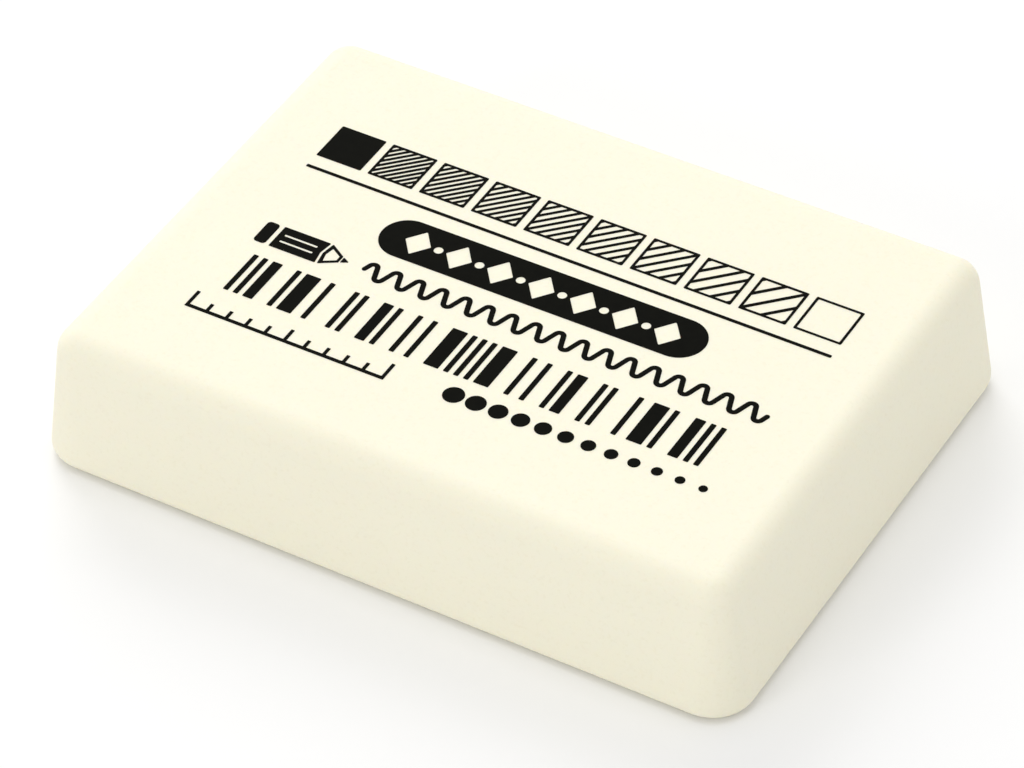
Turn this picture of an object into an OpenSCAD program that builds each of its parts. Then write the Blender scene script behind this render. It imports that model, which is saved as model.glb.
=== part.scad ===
// Block eraser: one moulded slab of soft rubber with rolled edges all round
// and side walls that lean in a little towards the top.
// Units are millimetres. +X runs along the length, +Y along the width and +Z up
// through the thickness. The origin is at the centre of the underside.

/* [Block] */
// Length of the slab along X, at its widest line
block_length = 35; // [24:0.5:70]
// Width of the slab along Y, at its widest line
block_width = 25.8; // [14:0.2:40]
// Thickness of the slab, along Z
block_thickness = 7; // [6:0.1:18]
// How far each side wall leans in from its widest line to its top
wall_taper = 0.7; // [0:0.1:1.2]

/* [Rounding] */
// Radius of the four upright corners, seen from above, at the widest line
corner_radius = 2; // [0.6:0.1:5]
// Radius of the rolled edge around the top face
top_edge_radius = 1.2; // [0.2:0.1:2.5]
// Radius of the rolled edge around the underside
bottom_edge_radius = 0.7; // [0.2:0.1:2.5]

/* [Appearance] */
// Colour of the rubber
rubber_colour = "#f7f2dc"; // [#f7f2dc:Cream, #ffffff:White, #d9c9a3:Tan, #e7a9a0:Pink]
// Number of facets in a full circle
smoothness = 96; // [24:8:192]

/* [Hidden] */
$fn = smoothness;

// the rolled edges and the lean always leave a narrow flat inside each corner,
// and the walls never lean in by more than one in five
edge_top = min(top_edge_radius, corner_radius - 0.1);
edge_bottom = min(bottom_edge_radius, corner_radius - 0.1);
lean = min(wall_taper, corner_radius - edge_top - 0.05,
    (block_thickness - edge_top - edge_bottom) / 5);
// straight runs between the upright corners
run_x = block_length - 2 * corner_radius;
run_y = block_width - 2 * corner_radius;

// centres of the two rolled edges in the section of a rim, (outwards, up)
low = [corner_radius - edge_bottom, edge_bottom];
high = [corner_radius - lean - edge_top, block_thickness - edge_top];
// the wall is sunk below the rolled edges by this share of their radius, which
// is a hair's breadth, so that it runs cleanly into both of them
sink = 0.0005;
// the way the wall faces: its angle above level, and the unit vector
gap = high - low;
face_angle = atan2(gap[1], gap[0])
    - acos((1 - sink) * (edge_bottom - edge_top) / norm(gap));
facing = [cos(face_angle), sin(face_angle)];

// The outer half of a rolled edge, seen along the edge.
module edge_round(centre, radius) {
    translate(centre) intersection() {
        circle(r = radius);
        translate([0, -radius]) square([radius, 2 * radius]);
    }
}

// One rim of the slab, cut across: flat above and below, with a rolled edge at
// each end of its leaning wall. It starts at x = 0.
module edge_section() {
    polygon([
        [0, 0], [low[0], 0], low, low + (1 - sink) * edge_bottom * facing,
        high + (1 - sink) * edge_top * facing, high, [high[0], block_thickness],
        [0, block_thickness]
    ]);
    edge_round(low, edge_bottom);
    edge_round(high, edge_top);
}

// A straight rim along one side, `run` long and centred, with its widest line
// at `reach` from the middle of the slab.
module side_rim(reach, run) {
    translate([reach - corner_radius, 0, 0])
        rotate([90, 0, 0])
            linear_extrude(height = run, center = true)
                edge_section();
}

// A quarter turn of the same section, which rounds one upright corner.
module corner_rim() {
    rotate_extrude(angle = 90)
        edge_section();
}

// The whole slab: a flat core with a rim round it, all one piece.
module eraser_block() {
    color(rubber_colour)
    union() {
        translate([-run_x / 2, -run_y / 2, 0])
            cube([run_x, run_y, block_thickness]);
        for (turn = [0, 180]) {
            rotate([0, 0, turn]) side_rim(block_length / 2, run_y);
            rotate([0, 0, turn + 90]) side_rim(block_width / 2, run_x);
        }
        for (side = [0, 1], end = [0, 1])
            translate([(end == 0 ? 1 : -1) * run_x / 2, (side == 0 ? 1 : -1) * run_y / 2, 0])
                rotate([0, 0, end == 0 ? (side == 0 ? 0 : 270) : (side == 0 ? 90 : 180)])
                    corner_rim();
    }
}

eraser_block();
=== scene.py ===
import math

import bmesh
import bpy
from mathutils import Matrix, Vector
from mathutils.geometry import tessellate_polygon


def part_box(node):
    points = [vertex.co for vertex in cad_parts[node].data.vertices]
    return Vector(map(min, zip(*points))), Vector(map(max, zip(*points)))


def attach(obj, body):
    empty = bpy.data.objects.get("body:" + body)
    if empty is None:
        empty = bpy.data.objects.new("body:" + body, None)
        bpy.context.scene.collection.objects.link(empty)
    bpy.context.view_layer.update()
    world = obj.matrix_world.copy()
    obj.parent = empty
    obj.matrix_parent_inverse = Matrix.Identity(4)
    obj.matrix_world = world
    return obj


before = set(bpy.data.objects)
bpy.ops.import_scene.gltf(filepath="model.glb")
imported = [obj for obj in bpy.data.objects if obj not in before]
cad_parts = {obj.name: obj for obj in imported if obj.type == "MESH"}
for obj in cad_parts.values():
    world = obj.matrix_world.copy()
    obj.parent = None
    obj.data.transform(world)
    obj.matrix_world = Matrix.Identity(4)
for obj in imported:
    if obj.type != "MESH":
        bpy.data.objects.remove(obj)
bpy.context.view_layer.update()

scene = bpy.context.scene
MM = 0.001
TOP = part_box("eraser_block")[1].z          # height of the printed face, metres


# ---------------------------------------------------------------- camera
def add_camera():
    az, el, roll = math.radians(31.603), math.radians(42.440), math.radians(-1.951)
    dist, off_x, off_y = 213.88 * MM, 0.519 * MM, -1.341 * MM
    back = Vector((math.sin(az) * math.cos(el), -math.cos(az) * math.cos(el), math.sin(el)))
    right = Vector((math.cos(az), math.sin(az), 0))
    up = back.cross(right)
    right, up = right * math.cos(roll) + up * math.sin(roll), up * math.cos(roll) - right * math.sin(roll)
    cam = bpy.data.cameras.new("camera")
    cam.sensor_width = 36
    cam.lens = 4801.9 / 1024 * 36
    cam.clip_start, cam.clip_end = 0.01, 20
    cam.dof.use_dof = False
    ob = bpy.data.objects.new("camera", cam)
    scene.collection.objects.link(ob)
    m = Matrix((right, up, back)).transposed().to_4x4()
    m.translation = back * dist - right * off_x - up * off_y
    ob.matrix_world = m
    scene.camera = ob


add_camera()


# ---------------------------------------------------------------- nodes helper
def new_material(name):
    mat = bpy.data.materials.new(name)
    mat.use_nodes = True
    nt = mat.node_tree
    nt.nodes.clear()
    out = nt.nodes.new("ShaderNodeOutputMaterial")
    bsdf = nt.nodes.new("ShaderNodeBsdfPrincipled")
    nt.links.new(bsdf.outputs["BSDF"], out.inputs["Surface"])
    return mat, nt, bsdf


def node(nt, kind, **values):
    n = nt.nodes.new(kind)
    for k, v in values.items():
        if k.startswith("_"):
            setattr(n, k[1:], v)
        else:
            n.inputs[k.replace("_", " ")].default_value = v
    return n


def rubber_material():
    mat, nt, bsdf = new_material("cream_rubber_matte")
    L = nt.links.new
    pos = node(nt, "ShaderNodeTexCoord")
    # slow, cloudy change of shade through the compound
    cloud = node(nt, "ShaderNodeTexNoise", Scale=110.0, Detail=3.0, Roughness=0.5)
    L(pos.outputs["Object"], cloud.inputs["Vector"])
    tone = nt.nodes.new("ShaderNodeValToRGB")
    tone.color_ramp.elements[0].position = 0.36
    tone.color_ramp.elements[0].color = (0.926, 0.8845, 0.7165, 1)
    tone.color_ramp.elements[1].position = 0.64
    tone.color_ramp.elements[1].color = (0.932, 0.8915, 0.7235, 1)
    L(cloud.outputs["Fac"], tone.inputs["Fac"])
    # fine filler grains, a little paler and darker than the compound
    grain = node(nt, "ShaderNodeTexNoise", Scale=5200.0, Detail=2.0, Roughness=0.6)
    L(pos.outputs["Object"], grain.inputs["Vector"])
    speck = nt.nodes.new("ShaderNodeValToRGB")
    speck.color_ramp.elements[0].position = 0.28
    speck.color_ramp.elements[0].color = (0.975, 0.970, 0.955, 1)
    speck.color_ramp.elements[1].position = 0.46
    speck.color_ramp.elements[1].color = (1, 1, 1, 1)
    L(grain.outputs["Fac"], speck.inputs["Fac"])
    mix = nt.nodes.new("ShaderNodeMix")
    mix.data_type = "RGBA"
    mix.blend_type = "MULTIPLY"
    mix.inputs["Factor"].default_value = 1.0
    L(tone.outputs["Color"], mix.inputs["A"])
    L(speck.outputs["Color"], mix.inputs["B"])
    L(mix.outputs["Result"], bsdf.inputs["Base Color"])
    # matt skin, unevenly so
    patch = node(nt, "ShaderNodeTexNoise", Scale=420.0, Detail=4.0, Roughness=0.6)
    L(pos.outputs["Object"], patch.inputs["Vector"])
    rough = nt.nodes.new("ShaderNodeMapRange")
    rough.inputs["From Min"].default_value = 0.3
    rough.inputs["From Max"].default_value = 0.7
    rough.inputs["To Min"].default_value = 0.58
    rough.inputs["To Max"].default_value = 0.70
    L(patch.outputs["Fac"], rough.inputs["Value"])
    L(rough.outputs["Result"], bsdf.inputs["Roughness"])
    # moulded skin: soft waviness, then a fine tooth
    wave = node(nt, "ShaderNodeTexNoise", Scale=700.0, Detail=2.0, Roughness=0.5)
    L(pos.outputs["Object"], wave.inputs["Vector"])
    b1 = node(nt, "ShaderNodeBump", Strength=0.12, Distance=0.00003)
    L(wave.outputs["Fac"], b1.inputs["Height"])
    tooth = node(nt, "ShaderNodeTexNoise", Scale=4200.0, Detail=3.0, Roughness=0.65)
    L(pos.outputs["Object"], tooth.inputs["Vector"])
    b2 = node(nt, "ShaderNodeBump", Strength=0.18, Distance=0.000015)
    L(tooth.outputs["Fac"], b2.inputs["Height"])
    L(b1.outputs["Normal"], b2.inputs["Normal"])
    L(b2.outputs["Normal"], bsdf.inputs["Normal"])
    bsdf.inputs["Specular IOR Level"].default_value = 0.35
    bsdf.inputs["Subsurface Weight"].default_value = 0.25
    bsdf.inputs["Subsurface Radius"].default_value = (1.0, 0.8, 0.5)
    bsdf.inputs["Subsurface Scale"].default_value = 0.0004
    return mat


def ink_material():
    mat, nt, bsdf = new_material("print_ink_black")
    L = nt.links.new
    pos = node(nt, "ShaderNodeTexCoord")
    dens = node(nt, "ShaderNodeTexNoise", Scale=2600.0, Detail=3.0, Roughness=0.6)
    L(pos.outputs["Object"], dens.inputs["Vector"])
    ramp = nt.nodes.new("ShaderNodeValToRGB")
    ramp.color_ramp.elements[0].position = 0.30
    ramp.color_ramp.elements[0].color = (0.0033, 0.0034, 0.0022, 1)
    ramp.color_ramp.elements[1].position = 0.72
    ramp.color_ramp.elements[1].color = (0.0057, 0.0058, 0.0041, 1)
    L(dens.outputs["Fac"], ramp.inputs["Fac"])
    L(ramp.outputs["Color"], bsdf.inputs["Base Color"])
    rough = nt.nodes.new("ShaderNodeMapRange")
    rough.inputs["To Min"].default_value = 0.52
    rough.inputs["To Max"].default_value = 0.68
    L(dens.outputs["Fac"], rough.inputs["Value"])
    L(rough.outputs["Result"], bsdf.inputs["Roughness"])
    b = node(nt, "ShaderNodeBump", Strength=0.2, Distance=0.00001)
    L(dens.outputs["Fac"], b.inputs["Height"])
    L(b.outputs["Normal"], bsdf.inputs["Normal"])
    bsdf.inputs["Specular IOR Level"].default_value = 0.02
    return mat


rubber = rubber_material()
ink = ink_material()
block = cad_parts["eraser_block"]
for s in block.material_slots:
    s.material = rubber

# ---------------------------------------------------------------- print
# Every printed shape is a closed film of ink, FILM thick, on the top face. Shapes are drawn in millimetres from the middle of the face.
FILM = 0.014
SUNK = 0.006


def rounded(points, r, steps=4):
    """The closed outline with its corners rounded to r. Works on convex and concave corners."""
    out = []
    n = len(points)
    for i in range(n):
        a, p, b = (Vector(points[(i + k) % n]) for k in (-1, 0, 1))
        u, v = (a - p), (b - p)
        lu, lv = u.length, v.length
        u, v = u / lu, v / lv
        ang = math.acos(max(-1, min(1, u.dot(v))))
        if ang > math.pi - 0.02:
            out.append(p)
            continue
        cut = min(r / math.tan(ang / 2), lu * 0.45, lv * 0.45)
        rr = cut * math.tan(ang / 2)
        c = p + (u + v).normalized() * (rr / math.sin(ang / 2))
        s, e = p + u * cut - c, p + v * cut - c
        a0 = math.atan2(s.y, s.x)
        turn = math.atan2(s.x * e.y - s.y * e.x, s.dot(e))
        for k in range(steps + 1):
            t = a0 + turn * k / steps
            out.append(c + Vector((math.cos(t), math.sin(t))) * rr)
    return out


def rect(x0, y0, x1, y1, r=0.05):
    return rounded([(x0, y0), (x1, y0), (x1, y1), (x0, y1)], r)


def disc(x, y, r, n=40):
    return [Vector((x + r * math.cos(2 * math.pi * k / n), y + r * math.sin(2 * math.pi * k / n))) for k in range(n)]


def stadium(x0, y0, x1, y1, n=24):
    r = (y1 - y0) / 2
    cy = (y0 + y1) / 2
    pts = [Vector((x1 - r + r * math.cos(t), cy + r * math.sin(t))) for t in (-math.pi / 2 + math.pi * k / n for k in range(n + 1))]
    pts += [Vector((x0 + r + r * math.cos(t), cy + r * math.sin(t))) for t in (math.pi / 2 + math.pi * k / n for k in range(n + 1))]
    return pts


def signed_area(loop):
    return sum(loop[i].x * loop[(i + 1) % len(loop)].y - loop[(i + 1) % len(loop)].x * loop[i].y for i in range(len(loop))) / 2


def placed(p, turn):
    """The whole print sits on the face with a hair of stretch, turn and shift."""
    return Vector((0.995 * p[0] + 0.066, 0.988 * p[1] + (0.0029 + turn) * p[0] - 0.075))


def film(name, shapes, turn=0.0):
    """One piece of ink from a list of shapes, each [outline, hole, hole, ...]. A stamp can sit turned by a hair."""
    bm = bmesh.new()
    z0, z1 = TOP - SUNK * MM, TOP + FILM * MM
    for shape in shapes:
        loops = []
        for k, loop in enumerate(shape):
            loop = [placed(p, turn) for p in loop]
            if (signed_area(loop) > 0) != (k == 0):
                loop.reverse()
            loops.append(loop)
        flat = [p for loop in loops for p in loop]
        low = [bm.verts.new((p.x * MM, p.y * MM, z0)) for p in flat]
        high = [bm.verts.new((p.x * MM, p.y * MM, z1)) for p in flat]
        tris = tessellate_polygon([[Vector((p.x, p.y, 0)) for p in loop] for loop in loops])
        for t in tris:
            a, b, c = (flat[i] for i in t)
            if (b - a).cross(c - a) < 0:
                t = (t[0], t[2], t[1])
            bm.faces.new([high[i] for i in t])
            bm.faces.new([low[i] for i in reversed(t)])
        start = 0
        for loop in loops:
            n = len(loop)
            for i in range(n):
                a, b = start + i, start + (i + 1) % n
                bm.faces.new((low[a], low[b], high[b], high[a]))
            start += n
    me = bpy.data.meshes.new(name)
    bm.to_mesh(me)
    bm.free()
    me.materials.append(ink)
    ob = bpy.data.objects.new(name, me)
    scene.collection.objects.link(ob)
    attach(ob, "root")
    return ob


LEFT, RIGHT = -13.05, 13.70

# thin rule across the face
film("print_rule", [[rect(LEFT, 3.09, RIGHT, 3.27, 0.04)]], turn=-0.0072)


# tone scale: ten swatches, hatched from dense to open
def clip_line(x0, y0, x1, y1, c, w):
    """The strip of half-width w about the line x - y = c, cut to the box: a convex polygon."""
    poly = [Vector((x0, y0)), Vector((x1, y0)), Vector((x1, y1)), Vector((x0, y1))]
    for side in (1, -1):
        out = []
        f = lambda p: side * (p.x - p.y - c) - w * math.sqrt(2)
        for i in range(len(poly)):
            a, b = poly[i], poly[(i + 1) % len(poly)]
            fa, fb = f(a), f(b)
            if fa <= 0:
                out.append(a)
            if (fa < 0 < fb) or (fb < 0 < fa):
                out.append(a + (b - a) * (fa / (fa - fb)))
        poly = [p for i, p in enumerate(out) if (p - out[i - 1]).length > 0.01]
        if len(poly) < 3:
            return None
    return poly if abs(signed_area(poly)) > 0.01 else None


def swatches():
    n, gap = 10, 0.375
    size = (RIGHT - LEFT - gap * (n - 1)) / n
    y0, y1 = 4.02, 4.02 + size
    line = 0.13
    shapes = []
    for k in range(n):
        x0 = LEFT + k * (size + gap)
        x1 = x0 + size
        if k == 0:
            shapes.append([rect(x0, y0, x1, y1, 0.06)])
            continue
        t = k / (n - 1)
        frame_outer = rect(x0, y0, x1, y1, 0.06)
        holes = []
        if k == n - 1:
            holes.append(rect(x0 + line, y0 + line, x1 - line, y1 - line, 0.04))
        else:
            gaps = 12 - k                                 # light strips between the hatch lines
            pitch = 2 * (size - 2 * line) / gaps
            dark = pitch * (0.62 - 0.42 * t)
            xa, ya, xb, yb = x0 + line, y0 + line, x1 - line, y1 - line
            mid = (xa + xb) / 2 - (ya + yb) / 2
            for g in range(gaps):
                c = mid + (g - (gaps - 1) / 2) * pitch
                e = 0.004 * (g % 3)                       # the hatch runs out unevenly, by a few microns
                p = clip_line(xa + e, ya + e, xb - e, yb - e, c, (pitch - dark) / 2 / math.sqrt(2))
                if p:
                    holes.append(p)
        shapes.append([frame_outer] + holes)
    return shapes


film("print_tone_scale", swatches(), turn=-0.0050)


# solid pill with a light row of lozenges and dots left out of the ink
def pill():
    outer = stadium(-7.68, -0.28, 8.65, 2.30)
    cx, cy = 0.485, 1.01
    holes = []
    for k in range(-3, 4):
        x = cx + k * 2.10
        holes.append(rounded([(x - 0.66, cy), (x, cy - 0.84), (x + 0.66, cy), (x, cy + 0.84)], 0.05))
    for k in range(-3, 3):
        holes.append(disc(cx + (k + 0.5) * 2.10, cy, 0.22, 24))
    return [[outer] + holes]


film("print_pill", pill())


# pencil, point to the right
def pencil():
    x0, x1, yc, h = -12.43, -7.83, -1.60, 0.72
    ferrule = x0 + 0.62
    band = ferrule + 0.22
    cone = x1 - 1.35
    shapes = [[rounded([(x0, yc - h), (ferrule, yc - h), (ferrule, yc + h), (x0, yc + h)], 0.18)]]
    body = [(band, yc - h), (cone, yc - h), (cone - 0.12, yc), (cone, yc + h), (band, yc + h)]
    slot_a = rect(band + 0.28, yc + 0.16, cone - 0.42, yc + 0.28, 0.04)
    slot_b = rect(band + 0.28, yc - 0.28, cone - 0.42, yc - 0.16, 0.04)
    shapes.append([rounded(body, 0.05), slot_a, slot_b])
    w = 0.13
    tip = (x1, yc)
    cone_out = [(cone + 0.12, yc - h), (x1 - 0.42, yc - 0.22), (x1 - 0.42, yc + 0.22), (cone + 0.12, yc + h), (cone, yc)]
    cone_in = [(cone + 0.26, yc - h + 0.26), (x1 - 0.56, yc - 0.14), (x1 - 0.56, yc + 0.14), (cone + 0.26, yc + h - 0.26), (cone + 0.16, yc)]
    shapes.append([rounded(cone_out, 0.04), rounded(cone_in, 0.03)])
    shapes.append([rounded([(x1 - 0.36, yc - 0.19), tip, (x1 - 0.36, yc + 0.19)], 0.03)])
    return shapes


film("print_pencil", pencil())


# the wavy line that the pencil draws: straight runs joined by round turns
def wave():
    x0, x1, yc, halves = -7.00, 13.06, -1.63, 34
    peak, turn, w = 0.90, 0.20, 0.25        # height of the sharp zigzag, radius of its turns, width of the line
    step = (x1 - x0) / halves
    slope = math.atan2(2 * peak, step)      # the first and last runs are half as high
    left, right_ = [], []

    def add(p, a):
        n = Vector((-math.sin(a), math.cos(a))) * w / 2
        left.append(p + n)
        right_.append(p - n)

    add(Vector((x0, yc)), slope)
    for k in range(halves):
        up = 1 if k % 2 == 0 else -1
        tip = Vector((x0 + (k + 0.5) * step, yc + up * peak))
        c = tip - Vector((0, up * turn / math.cos(slope)))
        for i in range(13):
            a = up * slope * (1 - i / 6)
            add(c + Vector((-math.sin(a), math.cos(a))) * turn * up, a)
    end = -slope if halves % 2 else slope
    add(Vector((x1, yc)), end)

    def cap(c, a):
        return [c + Vector((math.cos(a + math.pi / 2 - math.pi * i / 8), math.sin(a + math.pi / 2 - math.pi * i / 8))) * w / 2 for i in range(1, 8)]

    return [[left + cap(Vector((x1, yc)), end) + right_[::-1] + cap(Vector((x0, yc)), slope + math.pi)]]


film("print_wave", wave())


# band of upright stripes, mirrored about its middle
def stripes():
    half = [(1, 1), (1, 1), (2, 3), (1, 1), (3, 2), (1, 4), (1, 1), (1, 3), (2, 1), (1, 3), (1, 2), (1, 3), (3, 1), (1, 1)]
    unit = 23.75 / (2 * sum(a + b for a, b in half) + 1)
    x, shapes, cx = 0.0, [], 0.075
    start = cx - 11.875
    for a, b in half:
        w = a * unit
        shapes.append([rect(start + x, -5.75, start + x + w, -3.13, 0.045)])
        shapes.append([rect(2 * cx - start - x - w, -5.75, 2 * cx - start - x, -3.13, 0.045)])
        x += (a + b) * unit
    shapes.append([rect(cx - unit / 2, -5.75, cx + unit / 2, -3.13, 0.045)])
    return shapes


film("print_stripes", stripes())


# ten one-millimetre divisions
def ticks():
    x0, y0 = -12.60, -7.50
    shapes = []
    w = 0.17
    outline = [(x0 - w / 2, y0), (x0 + 10 + w / 2, y0)]
    for k in range(10, -1, -1):
        h = 1.10 if k in (0, 10) else 0.90 if k == 5 else 0.64
        x = x0 + k
        if k < 10:
            outline.append((x + w / 2, y0 + 0.19))
        outline.append((x + w / 2, y0 + h))
        outline.append((x - w / 2, y0 + h))
        if k > 0:
            outline.append((x - w / 2, y0 + 0.19))
    return [[rounded(outline, 0.02, 2)]]


film("print_ticks", ticks())


# row of dots, large to small
def dots():
    x0, x1, y = 0.66, 12.80, -6.86
    return [[disc(x0 + (x1 - x0) * k / 11, y, 0.50 - 0.027 * k, 32)] for k in range(12)]


film("print_dots", dots())


# ---------------------------------------------------------------- floor and light
def floor():
    me = bpy.data.meshes.new("floor")
    s = 3.0
    me.from_pydata([(-s, -s, 0), (s, -s, 0), (s, s, 0), (-s, s, 0)], [], [(0, 1, 2, 3)])
    mat, nt, bsdf = new_material("studio_floor")
    bsdf.inputs["Base Color"].default_value = (0.93, 0.93, 0.93, 1)
    bsdf.inputs["Roughness"].default_value = 0.9
    bsdf.inputs["Specular IOR Level"].default_value = 0.1
    me.materials.append(mat)
    ob = bpy.data.objects.new("floor", me)
    scene.collection.objects.link(ob)
    return ob


def area(name, azimuth, elevation, distance, size, power):
    """A square soft light. Azimuth is counted from the front (-Y) towards +X."""
    a, e = math.radians(azimuth), math.radians(elevation)
    light = bpy.data.lights.new(name, "AREA")
    light.shape = "SQUARE"
    light.size = size
    light.energy = power
    ob = bpy.data.objects.new(name, light)
    scene.collection.objects.link(ob)
    ob.location = (math.sin(a) * math.cos(e) * distance, -math.cos(a) * math.cos(e) * distance, math.sin(e) * distance)
    ob.rotation_euler = (Vector((0, 0, 0.004)) - ob.location).to_track_quat("-Z", "Y").to_euler()
    return ob


floor()
world = bpy.data.worlds.new("studio")
scene.world = world
world.use_nodes = True
bg = world.node_tree.nodes["Background"]
bg.inputs["Color"].default_value = (1, 1, 1, 1)
bg.inputs["Strength"].default_value = 0.696
area("key_rear_left", 222, 36, 0.9, 0.5, 2.68)
area("soft_overhead", 0, 90, 0.9, 0.5, 1.47)
area("fill_front_left", -22, 25, 0.9, 0.3, 0.96)
scene.view_settings.view_transform = "Standard"
scene.view_settings.exposure = 0.0
